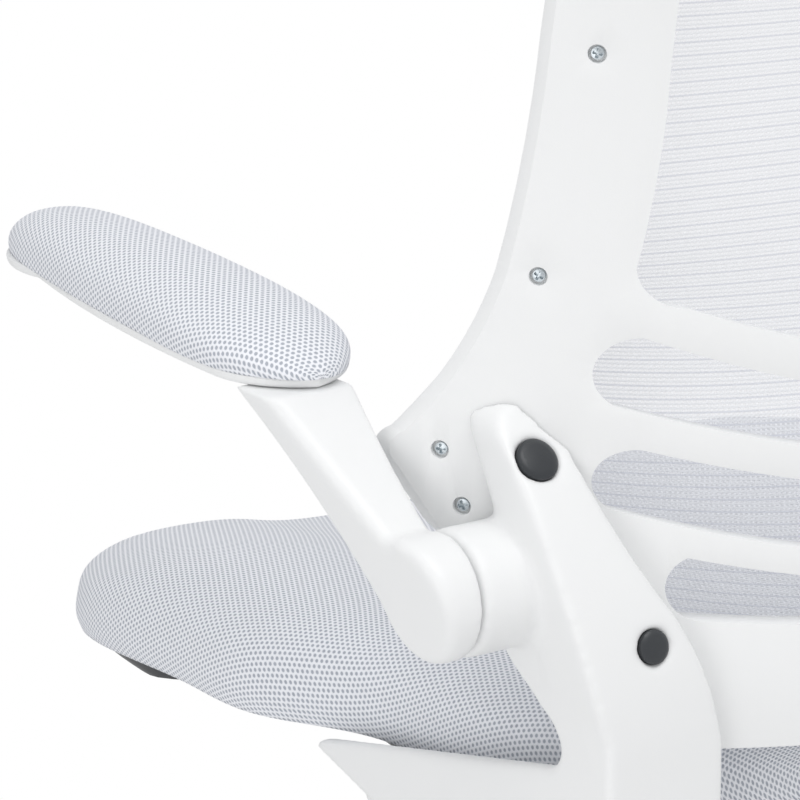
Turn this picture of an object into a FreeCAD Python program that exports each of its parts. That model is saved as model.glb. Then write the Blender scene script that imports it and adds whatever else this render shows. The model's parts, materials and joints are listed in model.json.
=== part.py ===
import FreeCAD, Part
import Sketcher
import math
import os
from FreeCAD import Placement, Rotation, Vector

# Task chair with a mesh back and flip-up arms, in millimetres.
# +Z is up, the sitter faces -Y and the sitter's left side is +X.
# The origin is on the floor under the swivel axis, and the gas lift is at its lowest.

SIZES = {
    # five-star base
    "base_legs": 5, "caster_ring": 280.0, "hub_radius": 37.0, "hub_bottom": 62.0, "hub_top": 122.0,
    "leg_root_half": 24.0, "leg_root_low": 70.0, "leg_root_high": 116.0, "leg_tip_half": 15.0,
    "leg_tip_low": 62.0, "leg_tip_high": 82.0, "leg_wall": 5.0, "leg_rib": 5.0, "tip_radius": 17.0,
    "tip_low": 60.0, "tip_high": 84.0,
    # casters
    "wheel_radius": 25.0, "wheel_inner": 7.2, "wheel_outer": 22.0, "caster_trail": 17.0,
    "axle_radius": 4.0, "axle_half": 20.5, "web_half": 6.5, "hood_radius": 29.5, "hood_wall": 3.0,
    "hood_half": 22.5, "hood_top": 58.0, "stem_radius": 5.5, "stem_pin": 4.0, "stem_top": 79.0,
    "running_gap": 0.05,
    # gas lift
    "pipe_radius": 25.0, "pipe_wall": 3.0, "pipe_low": 64.0, "pipe_top": 288.0, "bush_low": 200.0,
    "cylinder_radius": 14.0, "cylinder_low": 145.0, "cylinder_bore": 12.0, "cone_low": 300.0,
    "cone_top": 350.0, "cone_top_radius": 13.0, "rod_radius": 5.0, "rod_low": 58.0, "rod_top": 262.0,
    "button_radius": 4.0, "button_top": 357.7,
    # tilt mechanism
    "housing_half": 52.0, "housing_wall": 4.0, "housing_front": -112.0, "housing_rear": 80.0,
    "housing_low": 318.0, "housing_high": 376.0, "housing_rear_high": 344.0, "socket_radius": 20.0,
    "socket_low": 296.0, "shaft_radius": 8.0, "shaft_y": -35.0, "shaft_z": 362.0, "shaft_half": 62.0,
    "knob_y": -85.0, "knob_radius": 28.0, "knob_low": 266.0, "knob_high": 312.0, "bolt_radius": 5.0,
    "spring_radius": 15.0, "spring_wire": 2.0, "spring_turns": 6, "spring_low": 326.5, "spring_top": 369.5,
    "lever_z": 362.0, "lever_pivot_x": -57.0, "lever_rod_radius": 4.0, "lever_drop": 16.0,
    # seat
    "plate_top": 390.0, "plate_sheet": 4.0, "plate_half": 88.0, "plate_front": -120.0, "plate_rear": 98.0,
    "pan_top": 404.0, "board_low": 396.0, "board_top": 402.4, "cushion_gap": 0.4,
    "seat_front": -256.0, "seat_rear": 218.0, "seat_half": 248.0,
    "seat_waist": 219.0, "seat_rear_half": 206.0, "cushion_rise": 49.0, "seat_flat_y": -60.0,
    "seat_bend_radius": 1030.0, "bolt_shank": 3.2,
    # back frame, drawn on an upright cylinder that leans back above the lumbar line
    "back_radius": 310.0, "back_axis_y": -31.3, "frame_depth": 13.0, "frame_skin": 5.5, "back_low": 430.0,
    "lumbar_z": 600.0, "lean_radius": 1500.0, "back_top": 985.0, "rail_bottom": 448.0,
    "wing_half": 267.0, "wing_z": 580.0, "side_half": 228.0, "ring_depth": 8.0, "mesh_sheet": 1.6,
    # arm brackets
    "hub_y": 177.0, "hub_z": 526.0, "pivot_hub_radius": 29.0, "hub_face": 273.5, "lean_z": 452.0,
    "blade_in": 167.0, "blade_out": 232.0, "blade_top": 607.0, "rear_y": 240.0,
    "rear_radius": 200.0, "web_in": 200.0, "web_out": 232.0, "web_lean": 0.15, "foot_low": 376.0,
    "pin_radius": 9.0, "lever_round": 5.0, "cheek_y": 213.0, "cheek_lean": 29.0,
    "cap_upper_radius": 10.0, "cap_lower_radius": 7.8, "cap_depth": 9.0,
    # arms
    "lever_in": 274.0, "lever_out": 290.0, "tray_low": 606.0, "tray_sheet": 5.0, "pad_crown": 29.0,
    "pad_x": 281.0, "pad_y": -40.0, "pad_half_length": 150.0, "pad_rear_half": 35.0,
    "pad_front_half": 25.0, "pad_toe": -4.5,
}

doc = FreeCAD.newDocument("task_chair")
sheet = doc.addObject("Spreadsheet::Sheet", "dims")
for row, (alias, value) in enumerate(SIZES.items(), start=1):
    sheet.set("A%d" % row, alias)
    sheet.set("B%d" % row, str(value))
    sheet.setAlias("B%d" % row, alias)
doc.recompute()

NODES = {}
FAR = 400.0


class Size:
    """A number kept together with the formula that gives it from the sheet."""

    def __init__(self, value, text):
        self.value = value
        self.text = text

    def __add__(self, other):
        return Size(self.value + number(other), "(%s + %s)" % (self.text, formula(other)))

    def __radd__(self, other):
        return Size(number(other), formula(other)) + self

    def __sub__(self, other):
        return Size(self.value - number(other), "(%s - %s)" % (self.text, formula(other)))

    def __rsub__(self, other):
        return Size(number(other), formula(other)) - self

    def __mul__(self, factor):
        return Size(self.value * number(factor), "(%s * %s)" % (self.text, formula(factor)))

    def __rmul__(self, factor):
        return self * factor

    def __rtruediv__(self, other):
        return Size(number(other) / self.value, "(%s / %s)" % (formula(other), self.text))

    def __truediv__(self, factor):
        return Size(self.value / number(factor), "(%s / %s)" % (self.text, formula(factor)))

    def __neg__(self):
        return self * -1.0


class Cells:
    """The sheet's cells by alias, each as a Size."""

    def __getattr__(self, alias):
        return Size(float(sheet.get(alias)), "dims." + alias)


d = Cells()


def number(size):
    return size.value if isinstance(size, Size) else float(size)


def formula(size):
    return size.text if isinstance(size, Size) else repr(float(size))


def vector(x, y, z):
    return Vector(number(x), number(y), number(z))


def node(label, piece):
    piece.Label = label
    NODES[label] = piece
    return piece


# Sketch helpers

def arc_between(p, q, radius):
    """Arc from p to q of under a half circle; a positive radius turns left on the way."""
    chord = q - p
    left = Vector(-chord.y, chord.x, 0).normalize()
    rise = math.sqrt(max(radius ** 2 - (chord.Length / 2) ** 2, 0.0))
    centre = (p + q) * 0.5 + left * math.copysign(rise, radius)
    circle = Part.Circle(centre, Vector(0, 0, 1), abs(radius))
    first = math.atan2(p.y - centre.y, p.x - centre.x)
    last = math.atan2(q.y - centre.y, q.x - centre.x)
    if radius < 0:
        first, last = last, first
    if last < first:
        last += 2 * math.pi
    ends = (1, 2) if radius > 0 else (2, 1)
    return Part.ArcOfCircle(circle, first, last), ends


def dimension(sketch, constraint, size):
    index = sketch.addConstraint(constraint)
    if isinstance(size, Size):
        sketch.setExpression("Constraints[%d]" % index, size.text)


def pin_point(sketch, geometry, end, point):
    """Dimension one point of the sketch from the origin."""
    for kind, axis, size in (("DistanceX", -2, point[0]), ("DistanceY", -1, point[1])):
        if number(size) == 0.0:
            sketch.addConstraint(Sketcher.Constraint("PointOnObject", geometry, end, axis))
        else:
            dimension(sketch, Sketcher.Constraint(kind, -1, 1, geometry, end, number(size)), size)


def draw(sketch, points, radii=None, closed=True):
    """Outline through points; radii holds the radius of the arc that leaves a point, by its index."""
    radii = radii or {}
    first = sketch.GeometryCount
    count = len(points)
    steps = count if closed else count - 1
    ends = []
    for i in range(steps):
        p = vector(*points[i][:2], 0)
        q = vector(*points[(i + 1) % count][:2], 0)
        line, pair = Part.LineSegment(p, q), (1, 2)
        if i in radii:
            line, pair = arc_between(p, q, number(radii[i]))
        sketch.addGeometry(line, False)
        ends.append(pair)
    for i in range(steps):
        after = (i + 1) % count
        if after < steps:
            join = (first + i, ends[i][1], first + after, ends[after][0])
            sketch.addConstraint(Sketcher.Constraint("Coincident", *join))
        pin_point(sketch, first + i, ends[i][0], points[i])
        if i in radii:
            radius = radii[i] if number(radii[i]) > 0 else -1.0 * radii[i]
            dimension(sketch, Sketcher.Constraint("Radius", first + i, number(radius)), radius)
    if not closed:
        pin_point(sketch, first + steps - 1, ends[-1][1], points[-1])


def draw_circle(sketch, u, v, radius):
    index = sketch.addGeometry(Part.Circle(vector(u, v, 0), Vector(0, 0, 1), number(radius)), False)
    pin_point(sketch, index, 3, (u, v))
    dimension(sketch, Sketcher.Constraint("Radius", index, number(radius)), radius)


def mirrored(points, radii=None):
    """Right half of an outline, from its bottom to its top, closed by its mirror image in the v axis."""
    count = len(points)
    radii = dict(radii or {})
    whole = list(points) + [(-1.0 * u, v) for u, v in reversed(points)]
    for i in range(count - 1):
        if i in radii:
            radii[2 * count - 2 - i] = radii[i]
    return whole, radii


def rounded(points, radius):
    """Closed polygon with every corner rounded by a tangent arc."""
    corners, radii = [], {}
    count = len(points)
    for i in range(count):
        here = vector(*points[i], 0)
        before = vector(*points[i - 1], 0) - here
        after = vector(*points[(i + 1) % count], 0) - here
        half_angle = before.getAngle(after) / 2
        reach = radius / math.tan(half_angle)
        turn = before.cross(after).z
        radii[len(corners)] = radius if turn < 0 else -radius
        for way in (before, after):
            corner = here + way.normalize() * reach
            corners.append((corner.x, corner.y))
    return corners, radii


# Solid helpers

def new_body(label):
    return doc.addObject("PartDesign::Body", label)


def origin_feature(body, role):
    return next(feature for feature in body.Origin.OriginFeatures if feature.Role == role)


def add_sketch(body, role, offset=0.0):
    """Sketch on one of the body's origin planes, moved along that plane's normal."""
    sketch = body.newObject("Sketcher::SketchObject", body.Name + "_sketch")
    sketch.AttachmentSupport = [(origin_feature(body, role), "")]
    sketch.MapMode = "FlatFace"
    sketch.setExpression("AttachmentOffset.Base.z", formula(offset))
    return sketch


def add_pad(body, sketch, length):
    pad = body.newObject("PartDesign::Pad", body.Name + "_pad")
    pad.Profile = sketch
    pad.setExpression("Length", formula(length))
    return pad


def add_pocket(body, sketch, length):
    """Cut against the sketch plane's normal, and make sure that something was cut."""
    doc.recompute()
    before = body.Shape.Volume
    pocket = body.newObject("PartDesign::Pocket", body.Name + "_pocket")
    pocket.Profile = sketch
    pocket.setExpression("Length", formula(length))
    doc.recompute()
    if body.Shape.Volume >= before:
        raise RuntimeError("a pocket of %s cuts nothing" % body.Name)
    return pocket


def add_loft(body, sketches, kind="PartDesign::AdditiveLoft"):
    loft = body.newObject(kind, body.Name + "_loft")
    loft.Profile = sketches[0]
    loft.Sections = sketches[1:]
    return loft


def add_pattern(body, features, count):
    pattern = body.newObject("PartDesign::PolarPattern", body.Name + "_pattern")
    pattern.Originals = features
    pattern.Axis = (origin_feature(body, "Z_Axis"), [""])
    pattern.Angle = 360
    pattern.Occurrences = count
    body.Tip = pattern
    return pattern


def prism(label, role, points, radii, start, length):
    """Outline on an origin plane, padded from start along the plane's normal."""
    body = new_body(label)
    sketch = add_sketch(body, role, start)
    draw(sketch, points, radii)
    add_pad(body, sketch, length)
    return body


def turned(label, profile, radii=None):
    """Profile of (radius, height) points turned about Z."""
    body = new_body(label)
    sketch = add_sketch(body, "XZ_Plane")
    draw(sketch, profile, radii)
    turn = body.newObject("PartDesign::Revolution", label + "_turn")
    turn.Profile = sketch
    turn.ReferenceAxis = (sketch, ["V_Axis"])
    turn.Angle = 360
    return body


def sections_body(label, role, sections, ruled=False):
    """Loft through (offset, points, radii) sections on one family of planes."""
    body = new_body(label)
    sketches = []
    for offset, points, radii in sections:
        sketch = add_sketch(body, role, offset)
        draw(sketch, points, radii)
        sketches.append(sketch)
    add_loft(body, sketches).Ruled = ruled
    return body


def place(piece, x, y, z, rotation=None):
    piece.Placement = Placement(vector(x, y, z), rotation or Rotation())
    for axis, size in zip("xyz", (x, y, z)):
        piece.setExpression("Placement.Base." + axis, formula(size))
    return piece


def rod(label, radius, length, start, direction):
    """Round bar from a start point along a direction."""
    bar = doc.addObject("Part::Cylinder", label)
    bar.setExpression("Radius", formula(radius))
    bar.setExpression("Height", formula(length))
    return place(bar, *start, Rotation(Vector(0, 0, 1), direction))


def block(label, low, high):
    """Box between two opposite corners."""
    solid = doc.addObject("Part::Box", label)
    for name, a, b in zip(("Length", "Width", "Height"), low, high):
        solid.setExpression(name, formula(b - a))
    return place(solid, *low)


def boolean(kind, label, base, tool):
    result = doc.addObject(kind, label)
    result.Base = base
    result.Tool = tool
    return result


def fuse(label, pieces):
    result = doc.addObject("Part::MultiFuse", label)
    result.Shapes = pieces
    result.Refine = True
    return result


def cut(label, base, tools):
    tool = tools[0] if len(tools) == 1 else fuse(label + "_tools", tools)
    return boolean("Part::Cut", label, base, tool)


def rounded_edges(label, piece, radius, spots):
    """The piece with the edges nearest to the spots rounded."""
    doc.recompute()
    chosen = set()
    for spot in spots:
        point = Part.Vertex(vector(*spot))
        gaps = [edge.distToShape(point)[0] for edge in piece.Shape.Edges]
        chosen.add(gaps.index(min(gaps)) + 1)
    fillet = doc.addObject("Part::Fillet", label)
    fillet.Base = piece
    fillet.Edges = [(index, number(radius), number(radius)) for index in sorted(chosen)]
    return fillet


def mirror(label, source):
    image = doc.addObject("Part::Mirroring", label)
    image.Source = source
    image.Normal = (1, 0, 0)
    return image


def aim(point, direction):
    return Placement(point, Rotation(Vector(0, 0, 1), direction))


def group(label, items):
    """One piece per (master, placement), kept together as a group of solids."""
    links = []
    for master, placement in items:
        link = doc.addObject("App::Link", label + "_copy")
        link.LinkedObject = master
        link.Placement = placement
        links.append(link)
    result = doc.addObject("Part::Compound", label)
    result.Links = links
    return result


X, Y, Z = Vector(1, 0, 0), Vector(0, 1, 0), Vector(0, 0, 1)


# Five-star base

def leg_section(half, low, high):
    shoulder = low + 0.65 * (high - low)
    return mirrored([(half, low), (0.92 * half, shoulder), (0.5 * half, high)])


def build_base():
    body = new_body("base_star")
    sketch = add_sketch(body, "XZ_Plane")
    draw(sketch, [(d.pipe_radius, d.hub_bottom), (d.hub_radius - 3, d.hub_bottom),
                  (d.hub_radius, d.hub_bottom + 18), (d.hub_radius, d.hub_top - 10),
                  (d.hub_radius - 4, d.hub_top), (d.pipe_radius, d.hub_top)])
    hub = body.newObject("PartDesign::Revolution", "base_hub")
    hub.Profile = sketch
    hub.ReferenceAxis = (sketch, ["V_Axis"])
    hub.Angle = 360
    root_x, tip_x = d.pipe_radius + 4, d.caster_ring - 14
    sketches = []
    for x, size in ((root_x, (d.leg_root_half, d.leg_root_low, d.leg_root_high)),
                    (tip_x, (d.leg_tip_half, d.leg_tip_low, d.leg_tip_high))):
        sketch = add_sketch(body, "YZ_Plane", x)
        draw(sketch, *leg_section(*size))
        sketches.append(sketch)
    features = [add_loft(body, sketches)]
    sketch = add_sketch(body, "XY_Plane", d.tip_low)
    draw_circle(sketch, d.caster_ring, 0.0, d.tip_radius)
    features.append(add_pad(body, sketch, d.tip_high - d.tip_low))
    middle = 150.0
    for near, far in ((d.hub_radius + 8, middle), (middle + d.leg_rib, d.caster_ring - 24)):
        sketches = []
        for x in (near, far):
            share = (number(x) - number(root_x)) / (number(tip_x) - number(root_x))
            half = d.leg_root_half * (1 - share) + d.leg_tip_half * share - d.leg_wall
            high = d.leg_root_high * (1 - share) + d.leg_tip_high * share - d.leg_wall
            sketch = add_sketch(body, "YZ_Plane", x)
            draw(sketch, *leg_section(half, d.tip_low - 10, high))
            sketches.append(sketch)
        features.append(add_loft(body, sketches, "PartDesign::SubtractiveLoft"))
    sketch = add_sketch(body, "XY_Plane", d.stem_top)
    draw_circle(sketch, d.caster_ring, 0.0, d.stem_radius)
    features.append(add_pocket(body, sketch, d.stem_top - d.tip_low))
    add_pattern(body, features, int(SIZES["base_legs"]))
    body.Placement = Placement(Vector(), Rotation(Z, -90))
    return body


def caster_places():
    """Place of each caster: its stem is the local Z axis, and its wheels trail along local -X."""
    places = []
    for i in range(int(SIZES["base_legs"])):
        angle = -90 + 72 * i
        ring = number(d.caster_ring)
        spot = Vector(ring * math.cos(math.radians(angle)), ring * math.sin(math.radians(angle)), 0)
        places.append(Placement(spot, Rotation(Z, angle + 110)))
    return places


def build_stems():
    pin_low = d.hood_top - 16
    collar = d.tip_low - 1
    stem = turned("stem", [(0, pin_low), (d.stem_pin, pin_low), (d.stem_pin, collar),
                           (d.stem_radius + 2.5, collar), (d.stem_radius + 2.5, d.tip_low),
                           (d.stem_radius, d.tip_low), (d.stem_radius, d.stem_top), (0, d.stem_top)])
    return group("caster_stems", [(stem, place_) for place_ in caster_places()])


def build_hood(label):
    """Caster body: a web between the wheels, a curved cover over them and the stem's socket."""
    axle_x, axle_z, boss = -1.0 * d.caster_trail, d.wheel_radius, d.axle_radius + 5
    top = d.hood_top - 1
    web = [(axle_x + boss, axle_z), (d.web_half, axle_z + 17), (d.web_half, top), (-1.0 * d.web_half, top),
           (axle_x - boss, axle_z + 23), (axle_x - boss, axle_z)]
    body = prism(label, "XZ_Plane", web, {5: boss + 0.001}, -1.0 * d.web_half, 2 * d.web_half)
    rim = []
    for radius, angles in ((d.hood_radius, (35, 175)), (d.hood_radius - d.hood_wall, (175, 35))):
        for angle in angles:
            turn = math.radians(angle)
            rim.append((axle_x + radius * math.cos(turn), axle_z + radius * math.sin(turn)))
    sketch = add_sketch(body, "XZ_Plane", -1.0 * d.hood_half)
    draw(sketch, rim, {0: d.hood_radius, 2: -1.0 * (d.hood_radius - d.hood_wall)})
    add_pad(body, sketch, 2 * d.hood_half)
    sketch = add_sketch(body, "XY_Plane", d.hood_top - 5)
    draw_circle(sketch, 0.0, 0.0, d.web_half + 2)
    add_pad(body, sketch, 5.0)
    sketch = add_sketch(body, "XY_Plane", d.hood_top)
    draw_circle(sketch, 0.0, 0.0, d.stem_pin + d.running_gap)
    add_pocket(body, sketch, 16.5)
    sketch = add_sketch(body, "XZ_Plane", d.hood_half)
    draw_circle(sketch, axle_x, axle_z, d.axle_radius)
    add_pocket(body, sketch, 2 * d.hood_half)
    return body


def build_wheel(label):
    """Dished wheel turned about its axle, with its inner face towards the hood's web."""
    bore = d.axle_radius + d.running_gap
    return turned(label, [(bore, d.wheel_inner), (d.wheel_radius - 2, d.wheel_inner),
                          (d.wheel_radius, d.wheel_inner + 2), (d.wheel_radius, d.wheel_outer - 4.5),
                          (d.wheel_radius - 2.5, d.wheel_outer - 0.5), (14, d.wheel_outer),
                          (12, d.wheel_outer - 2), (bore, d.wheel_outer - 2)])


def build_casters():
    names = ("front", "left_front", "left_rear", "right_rear", "right_front")
    axle_spot = Vector(-number(d.caster_trail), 0, number(d.wheel_radius))
    for name, spot in zip(names, caster_places()):
        hood = node("caster_hood_" + name, build_hood("hood_" + name))
        hood.Placement = spot
        axle = rod("axle_" + name, d.axle_radius, 2 * d.axle_half, (0, 0, 0), Z)
        for axis in "xyz":
            axle.setExpression("Placement.Base." + axis, None)
        half = Vector(0, -number(d.axle_half), 0)
        axle.Placement = spot * Placement(axle_spot + half, Rotation(X, -90))
        node("caster_axle_" + name, axle)
        for side, turn in (("a", -90), ("b", 90)):
            wheel = node("caster_wheel_%s_%s" % (name, side), build_wheel("wheel_%s_%s" % (name, side)))
            wheel.Placement = spot * Placement(axle_spot, Rotation(X, turn))


# Gas lift

def build_lift():
    pipe_in = d.pipe_radius - d.pipe_wall
    floor = d.pipe_low + d.pipe_wall
    gap = d.running_gap
    node("lift_column", turned("column", [
        (d.rod_radius + gap, d.pipe_low), (d.pipe_radius, d.pipe_low), (d.pipe_radius, d.pipe_top),
        (pipe_in, d.pipe_top), (pipe_in, floor), (d.rod_radius + gap, floor)]))
    node("lift_guide_bush", turned("guide_bush", [
        (d.cylinder_radius + gap, d.bush_low), (pipe_in, d.bush_low), (pipe_in, d.pipe_top),
        (d.pipe_radius, d.pipe_top), (d.pipe_radius, d.pipe_top + 3),
        (d.cylinder_radius + gap, d.pipe_top + 3)]))
    node("lift_thrust_bearing", turned("thrust_bearing", [
        (d.rod_radius + gap, floor), (13, floor), (13, floor + 6), (d.rod_radius + gap, floor + 6)]))
    shoulder, piston = floor + 6.1, d.rod_top - 12
    node("lift_rod", turned("piston_rod", [
        (0, d.rod_low), (d.rod_radius, d.rod_low), (d.rod_radius, shoulder), (11, shoulder),
        (11, shoulder + 4), (d.rod_radius, shoulder + 4), (d.rod_radius, piston), (11, piston),
        (11, d.rod_top), (0, d.rod_top)]))
    node("lift_clip", turned("rod_clip", [
        (d.rod_radius, d.rod_low + 2), (9, d.rod_low + 2), (9, d.rod_low + 5), (d.rod_radius, d.rod_low + 5)]))
    gland, roof = d.cylinder_low + 6, d.cone_top - 10
    node("lift_cylinder", turned("gas_cylinder", [
        (d.rod_radius + gap, d.cylinder_low), (d.cylinder_radius, d.cylinder_low),
        (d.cylinder_radius, d.cone_low), (d.cone_top_radius, d.cone_top),
        (d.button_radius + gap, d.cone_top), (d.button_radius + gap, roof), (d.cylinder_bore, roof),
        (d.cylinder_bore, gland), (d.rod_radius + gap, gland)]))
    node("valve_button", rod("button", d.button_radius, d.button_top - roof + 3, (0, 0, roof - 3), Z))


# Tilt mechanism

def build_housing():
    """Open-topped pressed housing with the gas lift's socket, the spring's roof and the lever's lugs."""
    wall, half = d.housing_wall, d.housing_half
    side = [(d.housing_front, d.housing_low), (d.housing_rear - 12, d.housing_low),
            (d.housing_rear, d.housing_low + 12), (d.housing_rear, d.housing_rear_high),
            (-20, d.housing_high), (d.housing_front, d.housing_high)]
    body = prism("housing", "YZ_Plane", side, None, -1.0 * half, 2 * half)
    inside = [(d.housing_front + wall, d.housing_low + wall), (d.housing_rear - 14, d.housing_low + wall),
              (d.housing_rear - wall, d.housing_low + 14), (d.housing_rear - wall, FAR),
              (d.housing_front + wall, FAR)]
    sketch = add_sketch(body, "YZ_Plane", half - wall)
    draw(sketch, inside)
    add_pocket(body, sketch, 2 * (half - wall))
    socket_top = d.cone_top - 4
    sketch = add_sketch(body, "XY_Plane", d.socket_low)
    draw_circle(sketch, 0.0, 0.0, d.socket_radius)
    add_pad(body, sketch, socket_top - d.socket_low)
    roof = [(-1.0 * half, d.knob_y - 19), (half, d.knob_y - 19), (half, d.knob_y + 19), (-1.0 * half, d.knob_y + 19)]
    sketch = add_sketch(body, "XY_Plane", d.housing_high - 6)
    draw(sketch, roof)
    add_pad(body, sketch, 6.0)
    sketch = add_sketch(body, "XY_Plane", d.housing_high)
    draw_circle(sketch, 0.0, d.knob_y, d.bolt_radius + d.running_gap)
    add_pocket(body, sketch, d.housing_high - d.housing_low)
    sketch = add_sketch(body, "YZ_Plane", half)
    draw_circle(sketch, d.shaft_y, d.shaft_z, d.shaft_radius)
    add_pocket(body, sketch, 2 * half)
    groove_sketch = add_sketch(body, "XZ_Plane")
    draw(groove_sketch, [(0, d.socket_low - 5), (d.cylinder_radius, d.socket_low - 5),
                         (d.cylinder_radius, d.cone_low), (d.cone_top_radius, d.cone_top), (0, d.cone_top)])
    groove = body.newObject("PartDesign::Groove", "socket_bore")
    groove.Profile = groove_sketch
    groove.ReferenceAxis = (groove_sketch, ["V_Axis"])
    groove.Angle = 360
    lugs = []
    for name, low in (("lug_front", -13.0), ("lug_rear", 8.5)):
        lugs.append(block(name, (d.lever_pivot_x - 5, low, d.lever_z - 10), (-1.0 * half, low + 4.5, d.lever_z + 9)))
    solid = fuse("housing_with_lugs", [body] + lugs)
    notch = block("lever_notch", (-1.0 * half - 1, -8.0, d.lever_z - 10), (wall - half + 1, 8.0, FAR))
    hole = rod("trunnion_hole", 3.0 + d.running_gap, 30.0, (d.lever_pivot_x, -15.0, d.lever_z), Y)
    node("mech_housing", cut("housing_cut", solid, [notch, hole]))
    node("tilt_shaft", rod("shaft", d.shaft_radius, 2 * d.shaft_half, (-1.0 * d.shaft_half, d.shaft_y, d.shaft_z), X))


def build_tension():
    """Knob with its bolt, the cup that it lifts and the spring above the cup."""
    body = turned("knob", [(0, d.knob_low), (d.knob_radius - 4, d.knob_low), (d.knob_radius, d.knob_low + 5),
                           (d.knob_radius, d.knob_high - 10), (d.knob_radius - 8, d.knob_high),
                           (d.bolt_radius, d.knob_high), (d.bolt_radius, d.knob_low + 14), (0, d.knob_low + 14)])
    sketch = add_sketch(body, "XY_Plane", d.knob_high)
    draw_circle(sketch, d.knob_radius + 3, 0.0, 6.0)
    flute = add_pocket(body, sketch, d.knob_high - d.knob_low)
    add_pattern(body, [flute], 10)
    place(node("tension_knob", body), 0, d.knob_y, 0)
    bolt_low, head = d.knob_low + 14, d.housing_high + 0.5
    bolt = turned("bolt", [(0, bolt_low), (d.bolt_radius, bolt_low), (d.bolt_radius, head), (8, head),
                           (8, head + 5), (0, head + 5)])
    place(node("tension_bolt", bolt), 0, d.knob_y, 0)
    cup_low, cup_in = d.housing_low + d.housing_wall + 0.3, d.bolt_radius + d.running_gap
    reach = d.spring_radius + d.spring_wire + 1
    cup = turned("cup", [(cup_in, cup_low), (reach, cup_low), (reach, cup_low + 6), (reach - 0.8, cup_low + 6),
                         (reach - 0.8, d.spring_low - 0.3), (cup_in, d.spring_low - 0.3)])
    place(node("spring_cup", cup), 0, d.knob_y, 0)
    build_spring()


def build_spring():
    """Compression spring: one tube on quarter-turn arcs of a rising helix."""
    radius, wire = number(d.spring_radius), number(d.spring_wire)
    low, high = number(d.spring_low) + wire, number(d.spring_top) - wire
    turns = int(SIZES["spring_turns"])

    def on_helix(share):
        turn = 2 * math.pi * turns * share
        return Vector(radius * math.cos(turn), radius * math.sin(turn), low + (high - low) * share)

    quarters = 4 * turns
    arcs = []
    for i in range(quarters):
        stops = [on_helix((i + part) / quarters) for part in (0, 0.5, 1)]
        arcs.append(Part.Arc(*stops).toShape())
    ring = Part.Wire([Part.Circle(on_helix(0), Y, wire).toShape()])
    spring = doc.addObject("Part::Feature", "spring")
    spring.Shape = Part.Wire(arcs).makePipeShell([ring], True, False)
    points = [on_helix(i / (24.0 * turns)) for i in range(24 * turns + 1)]
    apart = min((p - q).Length for i, p in enumerate(points) for q in points[i + 12:])
    print("spring: least gap to itself %.2f mm" % (apart - 2 * wire))
    place(node("tension_spring", spring), 0, d.knob_y, 0)


def build_lever():
    """Control lever: a bush that rocks in the housing, a cranked rod and a paddle."""
    x, z, radius = d.lever_pivot_x, d.lever_z, d.lever_rod_radius
    sleeve = rod("bush_sleeve", radius + 3, 16.0, (x - 8, 0, z), X)
    trunnion = rod("bush_trunnion", 3.0, 25.0, (x, -12.5, z), Y)
    bore = rod("bush_bore", radius + d.running_gap, 40.0, (x - 20, 0, z), X)
    node("lever_bush", cut("bush_cut", fuse("bush_solid", [sleeve, trunnion]), [bore]))
    low = z - d.lever_drop
    body = new_body("lever_rod")
    spine = add_sketch(body, "XZ_Plane")
    end = 10.0
    draw(spine, [(end, z), (-69, z), (-81, z - 2.4), (-109, low + 2.4), (-121, low), (-202, low)],
         {1: 31.2, 3: -31.2}, closed=False)
    ring = add_sketch(body, "YZ_Plane", end)
    draw_circle(ring, 0.0, z, radius)
    pipe = body.newObject("PartDesign::AdditivePipe", "rod_pipe")
    pipe.Profile = ring
    pipe.Spine = (spine, [])
    node("lever_rod", body)
    paddle, radii = rounded([(-152, -9), (-152, 9), (-196, 15), (-218, 12), (-218, -12), (-196, -15)], 6.0)
    handle = prism("paddle", "XY_Plane", paddle, radii, low - 7, 14.0)
    hole = rod("paddle_hole", radius, 60.0, (-202, 0, low), X)
    node("lever_handle", cut("paddle_cut", handle, [hole]))


# Seat

FOOT_BOLTS = (62, 107, 152)


def seat_outline(inset):
    """Plan of the seat: a bowed front, a waist for the brackets and a rounded rear."""
    front, rear = d.seat_front + inset, d.seat_rear - inset
    half, waist, rear_half = d.seat_half - inset, d.seat_waist - inset, d.seat_rear_half - inset
    points = [(165, front), (half, -155), (half, -25), (waist, 30), (rear_half, 140), (125, rear)]
    return mirrored(points, {0: 100.0, 2: 160.0, 4: 90.0, 11: 1100.0})


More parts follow.
